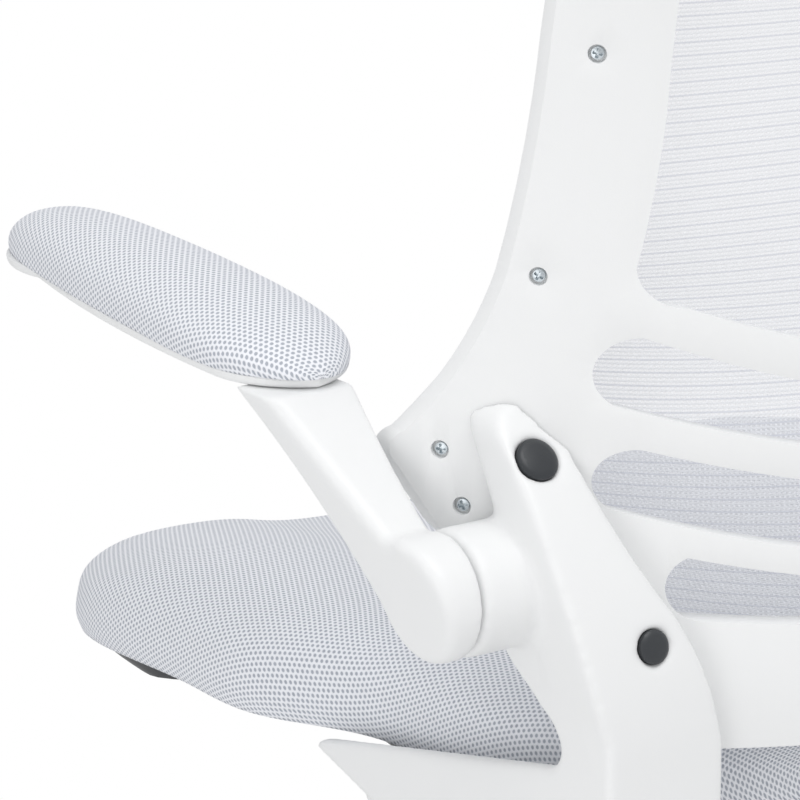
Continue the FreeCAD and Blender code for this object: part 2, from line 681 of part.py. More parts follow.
def build_seat():
    top, sheet_low = d.plate_top, d.plate_top - d.plate_sheet
    half = d.plate_half
    plate, radii = rounded([(-1.0 * half, d.plate_front), (half, d.plate_front), (half, d.plate_rear),
                            (-1.0 * half, d.plate_rear)], 18.0)
    body = prism("plate", "XY_Plane", plate, radii, sheet_low, d.plate_sheet)
    ear = [(d.shaft_y - 21, sheet_low + 1), (d.shaft_y - 14, d.shaft_z - 6), (d.shaft_y + 14, d.shaft_z - 6),
           (d.shaft_y + 17, sheet_low + 1)]
    for start in (d.housing_half + 4, -1.0 * d.housing_half - 8):
        sketch = add_sketch(body, "YZ_Plane", start)
        draw(sketch, ear, {1: 15.0})
        add_pad(body, sketch, 4.0)
    sketch = add_sketch(body, "YZ_Plane", half)
    draw_circle(sketch, d.shaft_y, d.shaft_z, d.shaft_radius + d.running_gap)
    add_pocket(body, sketch, 2 * half)
    plate_spots = [(x, y) for x in (-70, 70) for y in (-98, 76)]
    foot_spots = [(side * 165, y) for side in (-1, 1) for y in FOOT_BOLTS]
    sketch = add_sketch(body, "XY_Plane", top)
    for x, y in plate_spots:
        draw_circle(sketch, x, y, d.bolt_shank)
    add_pocket(body, sketch, d.plate_sheet)
    node("seat_plate", body)

    layers = [(top - 22, 36), (top + 2, 22), (d.pan_top + 2, 13)]
    plan = sections_body("pan_plan", "XY_Plane", [(z, *seat_outline(inset)) for z, inset in layers], ruled=True)
    front = d.seat_front
    bend = number(d.seat_bend_radius)
    front_drop = bend - math.sqrt(bend ** 2 - number(front - 4 - d.seat_flat_y) ** 2)
    side = prism("pan_side", "YZ_Plane",
                 [(front - 4, top - 21), (d.plate_front - 5, top), (FAR, top), (FAR, d.pan_top),
                  (d.seat_flat_y, d.pan_top), (front - 4, d.pan_top - front_drop)],
                 {0: -480.0, 4: d.seat_bend_radius}, -FAR, 2 * FAR)
    solid = boolean("Part::Common", "pan_solid", plan, side)
    board_plan = mirrored([(192, -108), (190, 30), (184, 135), (166, 166), (118, 188)])
    board = prism("board", "XY_Plane", *board_plan, d.board_low, d.board_top - d.board_low)
    sketch = add_sketch(board, "XY_Plane", d.board_top)
    for x, y in plate_spots + foot_spots:
        draw_circle(sketch, x, y, d.bolt_shank)
    add_pocket(board, sketch, d.board_top - d.board_low)
    node("seat_board", board)
    room = prism("board_room", "XY_Plane", *board_plan, d.board_low, d.pan_top - d.board_low + 5)
    holes = [rod("pan_hole", d.bolt_shank, 30.0, (x, y, top - 10), Z) for x, y in plate_spots + foot_spots]
    node("seat_pan", cut("pan_cut", solid, [room] + holes))
    build_cushion()

    for label, low, spots in (("plate_bolts", sheet_low, plate_spots),
                              ("bracket_seat_bolts", d.foot_low, foot_spots)):
        bolt = turned(label + "_one", [(0, low - 5), (6.5, low - 5), (6.5, low), (d.bolt_shank, low),
                                       (d.bolt_shank, d.board_top), (0, d.board_top)])
        node(label, group(label, [(bolt, Placement(Vector(x, y, 0), Rotation())) for x, y in spots]))


def build_cushion():
    """Cushion through upright cross-sections: bulging sides, rolled shoulders, a dished top and a dropped front."""
    stations = [(-263, 118, 0.42, 3), (-252, 182, 0.66, 9), (-228, 219, 0.87, 16), (-185, 241, 0.96, 18),
                (-140, 248, 1.0, 17), (-80, 249, 1.0, 15), (-25, 246, 1.0, 13), (5, 231, 1.0, 12),
                (30, 219, 1.0, 12), (85, 213, 1.0, 11), (140, 207, 1.0, 10), (185, 184, 0.93, 8),
                (208, 150, 0.74, 5), (217, 105, 0.46, 2)]
    bend = number(d.seat_bend_radius)
    sections = []
    for y, half, share, dish in stations:
        behind = min(y - number(d.seat_flat_y), 0.0)
        low = d.pan_top + d.cushion_gap - (bend - math.sqrt(bend ** 2 - behind ** 2))
        rise = d.cushion_rise * share
        roll = 0.27 * half
        points = mirrored([(half - 8, low), (half - 6, low + 0.62 * rise), (half - roll, low + rise)])[0]
        top_radius = ((half - roll) ** 2 + dish ** 2) / (2 * dish)
        side, shoulder = 0.45 * rise, 1.1 * roll
        sections.append((-y, points, {0: side, 1: shoulder, 2: -top_radius, 3: shoulder, 4: side}))
    node("seat_cushion", sections_body("cushion", "XZ_Plane", sections))


# Back

def swept_back(label, outer, inner):
    """Curved wall between two radii about the back's axis, upright below the lumbar line and leaning above it."""
    body = new_body(label)
    sketch = add_sketch(body, "XY_Plane", d.back_low)
    wall = []
    for radius, angles in ((outer, (67, -67)), (inner, (-67, 67))):
        for angle in angles:
            turn = math.radians(angle)
            wall.append((radius * math.sin(turn), d.back_axis_y + radius * math.cos(turn)))
    draw(sketch, wall, {0: outer, 2: -1.0 * inner})
    spine = add_sketch(body, "YZ_Plane")
    lean = math.asin((number(d.back_top) + 20 - number(d.lumbar_z)) / number(d.lean_radius))
    end = (d.lean_radius * (1 - math.cos(lean)), d.lumbar_z + d.lean_radius * math.sin(lean))
    draw(spine, [(0, d.back_low), (0, d.lumbar_z), end], {1: -1.0 * d.lean_radius}, closed=False)
    pipe = body.newObject("PartDesign::AdditivePipe", label + "_pipe")
    pipe.Profile = sketch
    pipe.Spine = (spine, [])
    pipe.Mode = "Fixed"
    return body


def back_spot(x, z, radius):
    """Point of the back's wall at a radius, and the direction out of the wall there."""
    axis_y, lean_radius = number(d.back_axis_y), number(d.lean_radius)
    rise = max(z - number(d.lumbar_z), 0.0)
    lean = lean_radius - math.sqrt(lean_radius ** 2 - rise ** 2)
    depth = math.sqrt(radius ** 2 - x ** 2)
    return Vector(x, axis_y + lean + depth, z), Vector(x, depth, 0).normalize()


def frame_openings():
    """Half outlines of the main opening and of the three slots, from the bottom up."""
    main = ([(178, 650), (197, 668), (190, 738), (180, 915), (140, 952)],
            {0: 19.0, 1: -520.0, 2: 1600.0, 3: 45.0, 4: 1800.0, 9: 500.0})
    slots = [([(203, 606), (194, 637)], {0: 17.0, 1: -508.0, 3: 650.0}),
             ([(204, 559), (193, 586)], {0: 15.0, 1: -700.0, 3: 665.0}),
             ([(174, 508), (177, 537)], {0: 16.0, 1: -746.0, 3: 2080.0})]
    return [main] + slots


SCREWS = [(214, 763), (228, 663), (255, 581), (249, 556), (110, 967)]


def build_back():
    outer = d.back_radius
    front = outer - d.frame_depth
    wing, side = d.wing_half, d.side_half
    low, high = d.rail_bottom, d.back_top
    edge = mirrored(
        [(170, low), (212, low + 30), (wing - 11, d.wing_z - 33), (wing - 1, d.wing_z - 8),
         (wing - 3, d.wing_z + 8), (side + 9, d.wing_z + 84), (side, d.wing_z + 190), (side - 14, high - 50),
         (165, high - 5)],
        {0: 55.0, 3: 13.0, 4: -270.0, 5: -800.0, 6: 1500.0, 7: 62.0, 8: 2200.0})
    core = mirrored(
        [(164, low + 7), (202, low + 34), (wing - 25, d.wing_z - 29), (wing - 7, d.wing_z - 6),
         (wing - 9, d.wing_z + 8), (side - 5, d.wing_z + 84), (side - 14, d.wing_z + 190), (side - 27, high - 55),
         (160, high - 13)])
    walls = []
    for name, outline, depth in (("skin", edge, d.frame_skin), ("core", core, d.frame_depth)):
        body = new_body(name + "_outline")
        sketch = add_sketch(body, "XZ_Plane", -FAR)
        draw(sketch, *outline)
        for points, arcs in frame_openings():
            draw(sketch, *mirrored(points, arcs))
        add_pad(body, sketch, FAR - 60)
        walls.append(boolean("Part::Common", name, swept_back(name + "_wall", outer, outer - depth), body))
    frame = fuse("frame_solid", walls)

    ring_outer = [(158, low + 12), (194, low + 38), (wing - 30, d.wing_z - 24), (wing - 13, d.wing_z - 4),
                  (side - 12, d.wing_z + 84), (side - 20, d.wing_z + 190), (side - 32, high - 59), (156, high - 17)]
    ring_inner = [(150, low + 26), (190, low + 52), (wing - 47, d.wing_z - 20), (wing - 34, d.wing_z),
                  (side - 25, d.wing_z + 84), (side - 32, d.wing_z + 190), (side - 43, high - 67), (150, high - 26)]
    body = new_body("ring_outline")
    sketch = add_sketch(body, "XZ_Plane", -FAR)
    draw(sketch, *mirrored(ring_outer))
    draw(sketch, *mirrored(ring_inner))
    add_pad(body, sketch, FAR - 60)
    ring = boolean("Part::Common", "ring_solid", swept_back("ring_wall", front, front - d.ring_depth), body)

    head, shank = 3.5, 1.6
    screw = turned("back_screw", [(0, -12), (shank, -12), (shank, -4), (head, -4), (head, -1.6), (0, -1.2)])
    spots, tools, holes = [], [], []
    for x, z in SCREWS:
        for sign in (1, -1):
            spot, out = back_spot(sign * x, z, number(outer))
            spots.append((screw, aim(spot, out)))
            tools.append(rod("screw_seat", 4.2, 30.0, spot - out * 4, out))
            holes.append(rod("screw_hole", shank, 30.0, spot - out * 14, out))
    node("back_screws", group("back_screws", spots))
    bolt_holes = [rod("frame_bolt_hole", 4.0, 60.0, spot - out * 44, out)
                  for _, spot, out in cap_spots(both=True)]
    node("back_frame", cut("frame_cut", frame, tools + holes + bolt_holes))
    node("mesh_ring", cut("ring_cut", ring, holes))
    build_mesh(number(front - d.ring_depth))


def build_mesh(radius):
    """Stretched mesh: a thin sheet through level arcs that hang between the two sides of the ring."""
    levels = [(467, 150, 36), (500, 193, 52), (556, 224, 68), (584, 236, 74), (664, 209, 34), (770, 202, 34),
              (860, 195, 42), (920, 189, 48), (963, 150, 33)]
    sections = []
    for z, half, sag in levels:
        edge = back_spot(half, z, radius)[0].y - 2.3
        arc = (half ** 2 + sag ** 2) / (2 * sag)
        thin = d.mesh_sheet
        points = [(half, edge), (-half, edge), (-half, edge - thin), (half, edge - thin)]
        sections.append((z, points, {0: arc, 2: -arc}))
    node("back_mesh", sections_body("mesh", "XY_Plane", sections))


# Arm brackets

def cap_spots(both=False):
    """Radius, place and outward direction of the bolt caps on the bracket's rear face."""
    radius = number(d.rear_radius)
    centre_y, centre_z = number(d.rear_y) - radius, number(d.lean_z) + 3
    spots = []
    for cap, x, z in ((d.cap_upper_radius, 236.0, 585.0), (d.cap_lower_radius, 203.0, 504.0)):
        turn = math.asin((z - centre_z) / radius)
        out = Vector(0, math.cos(turn), math.sin(turn))
        spot = Vector(x, centre_y, centre_z) + out * radius
        spots.append((cap, spot, out))
    if both:
        spots += [(cap, Vector(-spot.x, spot.y, spot.z), out) for cap, spot, out in spots]
    return spots


def build_bracket():
    """Rear blade on the back frame, the web round the open C, the foot under the seat and the arm's hub."""
    rear, top, bend = d.rear_y, d.blade_top, d.lean_z + 3
    blade_side = [(150, d.foot_low), (rear - 45, d.foot_low), (rear, d.foot_low + 45), (rear, bend),
                  (192.0, 585.0), (173.0, top), (110, top), (140, 540), (180, 470),
                  (212, 446), (212, 412), (190, 390), (150, 390)]
    side = prism("blade_side", "YZ_Plane", blade_side, {1: 45.0, 3: d.rear_radius}, 100.0, 250.0)
    low, inner, outer = d.foot_low - 10, d.blade_in, d.blade_out
    blade_front = [(inner, low), (outer, low), (outer, d.lean_z + 10), (outer + 18, top - 19), (outer + 5, top - 1),
                   (inner + 60, top), (inner + 52, top - 9), (inner + 21, d.lean_z + 63), (inner, d.lean_z - 2)]
    slab = prism("blade_front", "XZ_Plane", blade_front, {2: 480.0, 3: 14.0, 5: 9.0, 6: -165.0, 7: 177.0}, -FAR, FAR)
    blade = boolean("Part::Common", "blade_block", side, slab)
    cheek = [(outer + 24, 8.5), (outer - 20, -54.0), (outer - 20, -175.0),
             (outer + 98, -175.0), (outer + 98, 8.5)]
    room = prism("blade_cheek", "XY_Plane", cheek, None, -40.0, 220.0)
    place(room, 0, d.cheek_y, 500.0, Rotation(X, number(d.cheek_lean)))
    blade = cut("blade", blade, [room])
    web_side = [(9, 396), (58, 382), (120, d.foot_low - 3), (190, d.foot_low - 3), (228, d.foot_low + 35),
                (229, 500), (226, 516), (186, 552), (164, 552), (150, 522), (160, 497), (196, 467),
                (190, 441), (12, 400)]
    side = prism("web_side", "YZ_Plane", web_side, {3: 38.0, 6: 44.0, 11: -13.8}, 100.0, 250.0)
    inner, outer, rise = d.web_in, d.web_out, 150.0
    web_front = [(inner, low), (outer, low), (outer, d.lean_z), (outer + d.web_lean * rise, d.lean_z + rise),
                 (inner + d.web_lean * rise, d.lean_z + rise), (inner, d.lean_z)]
    slab = prism("web_front", "XZ_Plane", web_front, None, -FAR, FAR)
    web = boolean("Part::Common", "web", side, slab)
    seat_room = block("seat_room", (100.0, -50.0, d.plate_top), (d.seat_waist + 2.5, 205.0, 472.0))
    web = cut("web_cut", web, [seat_room])
    hub = rod("hub", d.pivot_hub_radius, d.hub_face - d.blade_out, (d.blade_out, d.hub_y, d.hub_z), X)
    flange = block("flange", (140.0, 42.0, d.foot_low), (d.web_out - 6, 195.0, d.plate_top))
    solid = fuse("bracket_solid", [blade, web, hub, flange])
    frame_room = rod("frame_room", d.back_radius, 200.0, (0.0, d.back_axis_y, 440.0), Z)
    pin_hole = rod("pin_hole", d.pin_radius, 60.0, (246.0, d.hub_y, d.hub_z), X)
    tools = [frame_room, pin_hole]
    for cap, spot, out in cap_spots():
        tools.append(rod("cap_seat", cap, 40.0, spot - out * number(d.cap_depth), out))
        tools.append(rod("bracket_bolt_hole", 4.0, 80.0, spot - out * 44, out))
    for y in FOOT_BOLTS:
        tools.append(rod("foot_hole", d.bolt_shank, 40.0, (165.0, y, d.foot_low - 10), Z))
    left = node("arm_bracket_left", cut("bracket_cut", solid, tools))
    node("arm_bracket_right", mirror("bracket_image", left))

    bolts, caps = [], []
    for index, (cap, spot, out) in enumerate(cap_spots(both=True)):
        depth = d.cap_depth
        bolt = turned("back_bolt_%d" % index, [(0, -43.0), (4.0, -43.0), (4.0, -1.0 * depth), (cap - 2, -1.0 * depth),
                                               (cap - 2, 5 - depth), (0, 5 - depth)])
        bolts.append((bolt, aim(spot, out)))
        dome = turned("cap_%d" % index, [(0, -3.5), (cap - 0.1, -3.5), (cap - 0.1, 0), (cap - 1.5, 1.0), (1.5, 1.8),
                                            (0, 1.8)], {3: 8 * cap})
        caps.append((dome, aim(spot, out)))
    node("bracket_back_bolts", group("bracket_back_bolts", bolts))
    node("bracket_caps", group("bracket_caps", caps))

    pin = turned("pin", [(0, 246), (d.pin_radius, 246), (d.pin_radius, d.lever_out - 5), (0, d.lever_out - 5)])
    hub_spot = vector(0, d.hub_y, d.hub_z)
    pins = [(pin, aim(hub_spot, X)), (pin, aim(hub_spot, -X))]
    node("arm_pivots", group("arm_pivots", pins))


# Arms

def pad_outline(inset):
    """Plan of the arm pad: wide at the rear, tapering to a rounded front tip."""
    length = d.pad_half_length - inset
    rear, front = d.pad_rear_half - inset, d.pad_front_half - inset
    right = [(front, 55 - length), (rear, length - 38)]
    points = [(0, -1.0 * length)] + right + [(0, length)] + [(-1.0 * u, v) for u, v in reversed(right)]
    return points, {0: 45.0, 1: 900.0, 2: 45.0, 3: 45.0, 4: 900.0, 5: 45.0}


def build_pad():
    """Padded top through upright cross-sections, each a low wall under an arc."""
    stations = [(-148, 4, 0.12), (-142, 11, 0.36), (-126, 19, 0.66), (-92, 25.5, 0.92), (-30, 31, 1.0),
                (40, 34.5, 0.95), (95, 35, 0.78), (122, 29.5, 0.60), (140, 17.5, 0.36), (148.5, 6, 0.12)]
    sections = []
    for y, half, share in stations:
        rise = d.pad_crown * share
        wall = 0.4 * rise
        dome = rise - wall
        radius = (half ** 2 + dome * dome) / (2 * dome)
        sections.append((-y, mirrored([(0.94 * half, 0), (half, wall)])[0], {1: radius}))
    return sections_body("pad", "XZ_Plane", sections)


def build_arm():
    """Lever that broadens from the hub to the pad, the tray on it and the padded top."""
    inner, outer, top = d.lever_in, d.lever_out, d.tray_low - 0.2
    boss = rod("boss", d.pivot_hub_radius, 40.0, (inner, d.hub_y, d.hub_z), X)
    side = prism("lever_side", "YZ_Plane",
                 [(d.hub_y - 27, d.hub_z - 10), (d.hub_y + 20, d.hub_z - 10), (d.hub_y + 13, d.hub_z + 10),
                  (107, top), (78, top)], {2: -430.0}, 200.0, 150.0)
    flare = prism("lever_front", "XZ_Plane",
                  [(inner, d.hub_z - 40), (outer - 4, d.hub_z - 40), (321, top), (inner, top)],
                  {1: -400.0}, -FAR, FAR)
    solid = boolean("Part::Common", "lever_solid", fuse("lever_plan", [boss, side]), flare)
    rim = [(outer + 2, d.hub_y + 29, d.hub_z), (outer - 2, d.hub_y - 20.5, d.hub_z - 20.5), (304, 113.5, 561.6),
           (310, 135.0, 579.0)]
    solid = rounded_edges("lever_round", solid, d.lever_round, rim)
    hole = rod("lever_hole", d.pin_radius + d.running_gap, outer - 4 - inner, (inner, d.hub_y, d.hub_z), X)
    lever = node("arm_lever_left", cut("lever_cut", solid, [hole]))
    turn = Rotation(Z, number(d.pad_toe))
    tray_top = d.tray_low + d.tray_sheet
    layers = [(0, 8), (0.4, 3), (1, 2.5)]
    sections = [(d.tray_sheet * share, *pad_outline(inset)) for share, inset in layers]
    tray = node("pad_tray_left", sections_body("tray", "XY_Plane", sections))
    place(tray, d.pad_x, d.pad_y, d.tray_low, turn)
    pad = node("arm_pad_left", build_pad())
    place(pad, d.pad_x, d.pad_y, tray_top, turn)
    for name, piece in (("arm_lever", lever), ("pad_tray", tray), ("arm_pad", pad)):
        node(name + "_right", mirror(name + "_image", piece))


def check_document():
    """Stop on any object that failed and on any sub-part without a sound solid."""
    doc.recompute()
    for item in doc.Objects:
        if "Invalid" in item.State or "Error" in item.State:
            raise RuntimeError("%s failed: %s" % (item.Label, item.State))
    for label, piece in NODES.items():
        if piece.Shape.isNull() or not piece.Shape.isValid() or not piece.Shape.Solids:
            raise RuntimeError("%s has no sound solid" % label)


def write_parts():
    os.makedirs("parts", exist_ok=True)
    for label, piece in NODES.items():
        piece.Shape.exportStep("parts/%s.step" % label)


node("base_star", build_base())
node("caster_stems", build_stems())
build_casters()
build_lift()
build_housing()
build_tension()
build_lever()
build_seat()
build_back()
build_bracket()
build_arm()
check_document()
write_parts()
print("%d sub-parts" % len(NODES))
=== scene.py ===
import json
import math

import bpy
import numpy as np
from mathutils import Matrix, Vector


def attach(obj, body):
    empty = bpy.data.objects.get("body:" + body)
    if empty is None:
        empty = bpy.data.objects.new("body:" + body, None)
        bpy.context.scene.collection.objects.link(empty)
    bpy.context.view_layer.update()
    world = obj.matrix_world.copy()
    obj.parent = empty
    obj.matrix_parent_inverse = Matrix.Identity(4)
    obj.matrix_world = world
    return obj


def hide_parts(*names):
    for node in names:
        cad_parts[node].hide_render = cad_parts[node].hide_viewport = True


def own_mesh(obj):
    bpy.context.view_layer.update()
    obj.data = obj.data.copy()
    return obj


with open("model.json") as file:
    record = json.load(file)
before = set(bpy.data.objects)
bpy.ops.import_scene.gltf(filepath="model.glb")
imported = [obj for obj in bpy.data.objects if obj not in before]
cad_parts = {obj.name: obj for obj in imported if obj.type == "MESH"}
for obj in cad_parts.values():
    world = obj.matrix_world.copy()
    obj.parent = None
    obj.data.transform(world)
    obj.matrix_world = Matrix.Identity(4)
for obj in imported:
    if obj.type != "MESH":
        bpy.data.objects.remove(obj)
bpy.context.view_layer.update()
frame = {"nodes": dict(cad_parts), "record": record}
bpy.context.scene.view_settings.view_transform = "Standard"
MM = 0.001


# Forms: curves and grids

def spline(points, count):
    """Natural cubic spline through points of any dimension, by chord length, sampled at count even steps."""
    points = np.asarray(points, float)
    step = np.linalg.norm(np.diff(points, axis=0), axis=1)
    knots = np.concatenate([[0.0], np.cumsum(step)])
    size = len(points)
    matrix = np.eye(size)
    right = np.zeros_like(points)
    inner = np.arange(1, size - 1)
    matrix[inner, inner - 1] = step[:-1]
    matrix[inner, inner] = 2 * (step[:-1] + step[1:])
    matrix[inner, inner + 1] = step[1:]
    slope = np.diff(points, axis=0) / step[:, None]
    right[1:-1] = 6 * np.diff(slope, axis=0)
    bend = np.linalg.solve(matrix, right)
    at = np.linspace(0, knots[-1], count)
    k = np.clip(np.searchsorted(knots, at, side="right") - 1, 0, size - 2)
    h = step[k][:, None]
    a = (knots[k + 1] - at)[:, None]
    b = (at - knots[k])[:, None]
    return (bend[k] * a ** 3 / (6 * h) + bend[k + 1] * b ** 3 / (6 * h)
            + (points[k] / h - bend[k] * h / 6) * a + (points[k + 1] / h - bend[k + 1] * h / 6) * b)


def soft_step(value, start, end):
    """Share from 0 at the start to 1 at the end, easing in and out."""
    share = np.clip((value - start) / (end - start), 0, 1)
    return share * share * (3 - 2 * share)


def arc_length(grid, axis, start):
    """Distance along one axis of a grid of points, counted from the start row."""
    step = np.linalg.norm(np.diff(grid, axis=axis), axis=2)
    total = np.cumsum(step, axis=axis)
    total = np.insert(total, 0, 0.0, axis=axis)
    return total - np.take(total, [start], axis=axis)


def lay(grid):
    """Both arc-length coordinates of a grid, counted from its middle column and its middle row."""
    rows, columns = grid.shape[:2]
    return arc_length(grid, 1, columns // 2), arc_length(grid, 0, rows // 2)


def both_sides(side):
    """Whole section from its left half, which runs from the middle of the top to the middle of the base."""
    other = side[:, ::-1, :] * (-1, 1, 1)
    return np.concatenate([other[:, :-1], side], axis=1)


def grid_mesh(name, grid, u, v, ends=False):
    """Mesh of quads over a rows by columns grid of points in metres, with the UV map cloth in metres.
    With ends, the first and last rows are each closed by a fan to the row's middle."""
    rows, columns = grid.shape[:2]
    points = grid.reshape(-1, 3)
    i, j = np.meshgrid(np.arange(rows - 1), np.arange(columns - 1), indexing="ij")
    corner = i * columns + j
    quads = np.stack([corner, corner + 1, corner + columns + 1, corner + columns], axis=-1).reshape(-1, 4)
    faces = quads.tolist()
    flat = np.stack([u.reshape(-1), v.reshape(-1)], axis=1)
    if ends:
        for row, flip in ((0, True), (rows - 1, False)):
            first = row * columns
            middle = len(points)
            points = np.vstack([points, grid[row, :-1].mean(axis=0)])
            flat = np.vstack([flat, flat[first:first + columns].mean(axis=0)])
            rim = first + np.arange(columns - 1)
            fan = np.stack([rim + 1, rim, np.full(columns - 1, middle)], axis=1)
            faces += (fan if flip else fan[:, [1, 0, 2]]).tolist()
    mesh = bpy.data.meshes.new(name)
    mesh.from_pydata(points.tolist(), [], faces)
    corners = np.zeros(len(mesh.loops), np.int32)
    mesh.loops.foreach_get("vertex_index", corners)
    layer = mesh.uv_layers.new(name="cloth")
    layer.data.foreach_set("uv", flat[corners].astype(np.float32).reshape(-1))
    mesh.polygons.foreach_set("use_smooth", np.ones(len(mesh.polygons), bool))
    mesh.update()
    return mesh


def add_piece(mesh, body, look, replaced=()):
    """Piece of the scene with its look, riding on a body and standing in for the replaced nodes."""
    obj = bpy.data.objects.new(mesh.name, mesh)
    bpy.context.scene.collection.objects.link(obj)
    obj.data.materials.append(look)
    for node in replaced:
        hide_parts(node)
    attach(obj, body)
    return obj


# Materials

class Look:
    """A material whose node tree is written as nested calls; values go straight on the sockets."""

    def __init__(self, name):
        self.material = bpy.data.materials.new(name)
        self.material.use_nodes = True
        self.tree = self.material.node_tree
        self.tree.nodes.clear()

    def node(self, kind, inputs=None, **settings):
        """One node: settings are its properties, and each input is a value or another node's output."""
        made = self.tree.nodes.new(kind)
        for key, value in settings.items():
            setattr(made, key, value)
        for key, value in (inputs or {}).items():
            if isinstance(value, bpy.types.NodeSocket):
                self.tree.links.new(value, made.inputs[key])
            else:
                made.inputs[key].default_value = value
        return made

    def math(self, operation, a, b=0.0):
        return self.node("ShaderNodeMath", {0: a, 1: b}, operation=operation).outputs[0]

    def centred(self, value):
        """Place within a repeating step of 1, from -0.5 to 0.5."""
        return self.math("SUBTRACT", self.math("FRACT", value), 0.5)

    def off_middle(self, value):
        """Distance from the middle of a repeating step of 1."""
        return self.math("ABSOLUTE", self.centred(value))

    def mix(self, factor, a, b):
        """Colour between a and b; sockets 6 and 7 and output 2 are the colour ones of a Mix node."""
        return self.node("ShaderNodeMix", {0: factor, 6: a, 7: b}, data_type="RGBA").outputs[2]

    def spread(self, value, low, high, out_low=0.0, out_high=1.0):
        return self.node("ShaderNodeMapRange", {0: value, 1: low, 2: high, 3: out_low, 4: out_high},
                         interpolation_type="SMOOTHSTEP").outputs[0]

    def place(self):
        return self.node("ShaderNodeTexCoord").outputs["Object"]

    def stretched(self, scale):
        return self.node("ShaderNodeMapping", {"Vector": self.place(), "Scale": scale}).outputs[0]

    def cloth(self):
        """Flat coordinates of a cover, in metres."""
        return self.node("ShaderNodeUVMap", uv_map="cloth").outputs[0]

    def noise(self, scale, detail=3.0, at=None):
        spot = self.place() if at is None else at
        return self.node("ShaderNodeTexNoise", {"Vector": spot, "Scale": scale, "Detail": detail}).outputs[0]

    def bump(self, height, depth, strength):
        return self.node("ShaderNodeBump", {
            "Height": height, "Distance": depth, "Strength": strength}).outputs[0]

    def surface(self, inputs):
        return self.node("ShaderNodeBsdfPrincipled", inputs).outputs[0]

    def blend(self, share, a, b):
        return self.node("ShaderNodeMixShader", {0: share, 1: a, 2: b}).outputs[0]

    def finish(self, shader):
        self.node("ShaderNodeOutputMaterial", {"Surface": shader})
        return self.material


def rgb(red, green, blue):
    return (red, green, blue, 1.0)


CLOUD_SCALE, CLOUD_LOW, CLOUD_HIGH, CLOUD_GLOSS = 9.0, 0.3, 0.7, 0.05
SPARK_DETAIL, SPARK_STRENGTH, PLASTIC_SPECULAR = 2.0, 0.5, 0.4


def moulded(name, dark, light, rough, grain, depth):
    """Moulded plastic: a fine spark grain in the surface and faint clouds in colour and gloss."""
    look = Look(name)
    clouds = look.noise(CLOUD_SCALE)
    colour = look.mix(clouds, dark, light)
    gloss = look.spread(clouds, CLOUD_LOW, CLOUD_HIGH, rough - CLOUD_GLOSS, rough + CLOUD_GLOSS)
    normal = look.bump(look.noise(grain, SPARK_DETAIL), depth, SPARK_STRENGTH)
    return look.finish(look.surface({
        "Base Color": colour, "Roughness": gloss, "Normal": normal, "Specular IOR Level": PLASTIC_SPECULAR}))


LINE_SCALE, LINE_DETAIL, LINE_LOW, LINE_HIGH, LINE_GLOSS = 60.0, 4.0, 0.3, 0.7, 0.06
LINE_DEPTH, LINE_STRENGTH, METALLIC = 0.00005, 0.4, 0.9


def metal(name, dark, light, rough, brushed):
    """Plated or drawn metal: clouds in colour and fine lines along the drawing direction."""
    look = Look(name)
    lines = look.noise(LINE_SCALE, LINE_DETAIL, look.stretched(brushed))
    colour = look.mix(lines, dark, light)
    gloss = look.spread(lines, LINE_LOW, LINE_HIGH, rough - LINE_GLOSS, rough + LINE_GLOSS)
    normal = look.bump(lines, LINE_DEPTH, LINE_STRENGTH)
    return look.finish(look.surface({
        "Base Color": colour, "Roughness": gloss, "Metallic": METALLIC, "Normal": normal}))


PLY_STRETCH, PLY_DETAIL, PLY_ROUGH = (6.0, 90.0, 400.0), 6.0, 0.65
PLY_DARK, PLY_LIGHT = rgb(0.38, 0.25, 0.13), rgb(0.66, 0.50, 0.31)


def plywood(name):
    """Birch ply: long grain lines in warm brown."""
    look = Look(name)
    grain = look.noise(1.0, PLY_DETAIL, look.stretched(PLY_STRETCH))
    return look.finish(look.surface({
        "Base Color": look.mix(grain, PLY_DARK, PLY_LIGHT), "Roughness": PLY_ROUGH}))


HOLE_PITCH, ROW_SHARE = 0.0029, 0.88
HOLE_INNER, HOLE_OUTER, HOLE_DEPTH, HOLE_STRENGTH = 0.17, 0.41, 0.0007, 0.7
YARN_SCALE, YARN_DETAIL, YARN_HEIGHT = 1500.0, 2.0, 0.15
YARN_DARK, YARN_LIGHT = rgb(0.83, 0.845, 0.90), rgb(0.93, 0.94, 0.97)
# Painted shade: the darker blue-grey of the holes stands in for the shade down inside the white fabric
HOLE_SHADE = rgb(0.43, 0.46, 0.52)
FABRIC = {"Roughness": 0.9, "Specular IOR Level": 0.15, "Sheen Weight": 0.25, "Sheen Roughness": 0.5}


def spacer_fabric(name):
    """Spacer mesh: rows of round holes, every second row set over by half a pitch, in soft white yarn. The
    holes carry a darker blue-grey, which is painted shade in their depth.
    """
    look = Look(name)
    flat = look.cloth()
    split = look.node("ShaderNodeSeparateXYZ", {0: flat})
    u = look.math("DIVIDE", split.outputs[0], HOLE_PITCH)
    v = look.math("DIVIDE", split.outputs[1], ROW_SHARE * HOLE_PITCH)
    shift = look.math("MULTIPLY", look.math("MODULO", look.math("FLOOR", v), 2.0), 0.5)
    across = look.centred(look.math("ADD", u, shift))
    along = look.math("MULTIPLY", look.centred(v), ROW_SHARE)
    reach = look.math("SQRT", look.math("ADD", look.math("MULTIPLY", across, across),
                                        look.math("MULTIPLY", along, along)))
    hole = look.spread(reach, HOLE_INNER, HOLE_OUTER, 1.0, 0.0)
    yarn = look.noise(YARN_SCALE, YARN_DETAIL, flat)
    # The holes take the painted shade colour over the yarn
    colour = look.mix(hole, look.mix(yarn, YARN_DARK, YARN_LIGHT), HOLE_SHADE)
    height = look.math("ADD", look.math("MULTIPLY", hole, -1.0), look.math("MULTIPLY", yarn, YARN_HEIGHT))
    normal = look.bump(height, HOLE_DEPTH, HOLE_STRENGTH)
    return look.finish(look.surface({"Base Color": colour, "Normal": normal, **FABRIC}))


